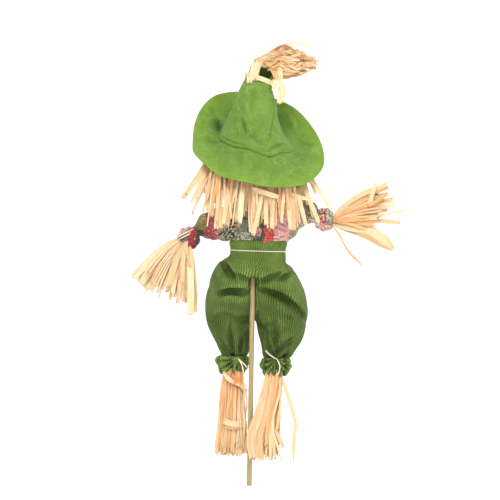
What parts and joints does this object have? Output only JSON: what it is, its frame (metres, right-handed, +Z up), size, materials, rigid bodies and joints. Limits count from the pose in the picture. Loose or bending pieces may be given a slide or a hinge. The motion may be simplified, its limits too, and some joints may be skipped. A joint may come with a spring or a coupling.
{
  "type": "scarecrow figure",
  "caption": "Cloth and raffia scarecrow with a pointed hat, hung on a thin wooden stick that pushes into a plant pot; arms, hands, legs and feet turn.",
  "frame": {"origin": "centre of the stick's flat lower end", "axes": "+Z up along the stick, -Y the way the face looks, +X the figure's left"},
  "size_m": [0.2673, 0.0919, 0.44],
  "materials": {
    "stick_wood": "matte",
    "raffia": "satin",
    "hat_felt": "matte",
    "trouser_cloth": "matte",
    "shirt_cloth": "matte",
    "string": "matte",
    "head_cloth": "matte",
    "foam": "matte",
    "wadding": "matte",
    "bead": "gloss",
    "nose_felt": "matte",
    "mouth_thread": "matte"
  },
  "bodies": {
    "torso": {"stick": "stick_wood", "head_ball": "foam", "head_cover": "head_cloth", "neck_tie": "string", "eye_left": "bead", "eye_right": "bead", "nose": "nose_felt", "mouth": "mouth_thread", "hair_left": "raffia", "hair_back_left": "raffia", "hair_back": "raffia", "hair_back_right": "raffia", "hair_right": "raffia", "hair_fringe": "raffia", "hat_crown": "hat_felt", "hat_brim": "hat_felt", "crown_wadding": "wadding", "hat_tip_raffia": "raffia", "hat_tip_tie": "raffia", "shirt_body": "shirt_cloth", "torso_filling": "wadding", "trousers_seat": "trouser_cloth", "waist_string": "string"},
    "arm_left": {"sleeve_left": "shirt_cloth", "arm_raffia_left": "raffia", "wrist_tie_left": "string"},
    "hand_left": {"hand_raffia_left": "raffia", "sleeve_frill_left": "shirt_cloth"},
    "leg_left": {"trouser_leg_left": "trouser_cloth", "leg_filling_left": "wadding", "ankle_tie_left": "string"},
    "foot_left": {"foot_raffia_left": "raffia", "cuff_frill_left": "trouser_cloth"},
    "arm_right": {"sleeve_right": "shirt_cloth", "arm_raffia_right": "raffia", "wrist_tie_right": "string"},
    "hand_right": {"hand_raffia_right": "raffia", "sleeve_frill_right": "shirt_cloth"},
    "leg_right": {"trouser_leg_right": "trouser_cloth", "leg_filling_right": "wadding", "ankle_tie_right": "string"},
    "foot_right": {"foot_raffia_right": "raffia", "cuff_frill_right": "trouser_cloth"}
  },
  "joints": [
    {"name": "shoulder_left", "type": "hinge", "parent": "torso", "child": "arm_left", "pos_m": [0.028, 0, 0.262], "axis": [0, -1, 0], "range_deg": [-5, 65]},
    {"name": "wrist_left", "type": "hinge", "parent": "arm_left", "child": "hand_left", "pos_m": [0.0665, 0, 0.246], "axis": [0, -1, 0], "range_deg": [-8, 50]},
    {"name": "shoulder_right", "type": "hinge", "parent": "torso", "child": "arm_right", "pos_m": [-0.037, 0, 0.268], "axis": [0, 1, 0], "range_deg": [-30, 30]},
    {"name": "wrist_right", "type": "hinge", "parent": "arm_right", "child": "hand_right", "pos_m": [-0.077, 0, 0.265], "axis": [0, 1, 0], "range_deg": [-45, 30]},
    {"name": "hip_left", "type": "hinge", "parent": "torso", "child": "leg_left", "pos_m": [0.017, -0.013, 0.208], "axis": [0, -1, 0], "range_deg": [0, 25]},
    {"name": "ankle_left", "type": "hinge", "parent": "leg_left", "child": "foot_left", "pos_m": [0.0185, -0.013, 0.12], "axis": [0, -1, 0], "range_deg": [-3, 30]},
    {"name": "hip_right", "type": "hinge", "parent": "torso", "child": "leg_right", "pos_m": [-0.023, -0.013, 0.208], "axis": [0, 1, 0], "range_deg": [0, 25]},
    {"name": "ankle_right", "type": "hinge", "parent": "leg_right", "child": "foot_right", "pos_m": [-0.025, -0.013, 0.12], "axis": [0, 1, 0], "range_deg": [-3, 30]}
  ]
}
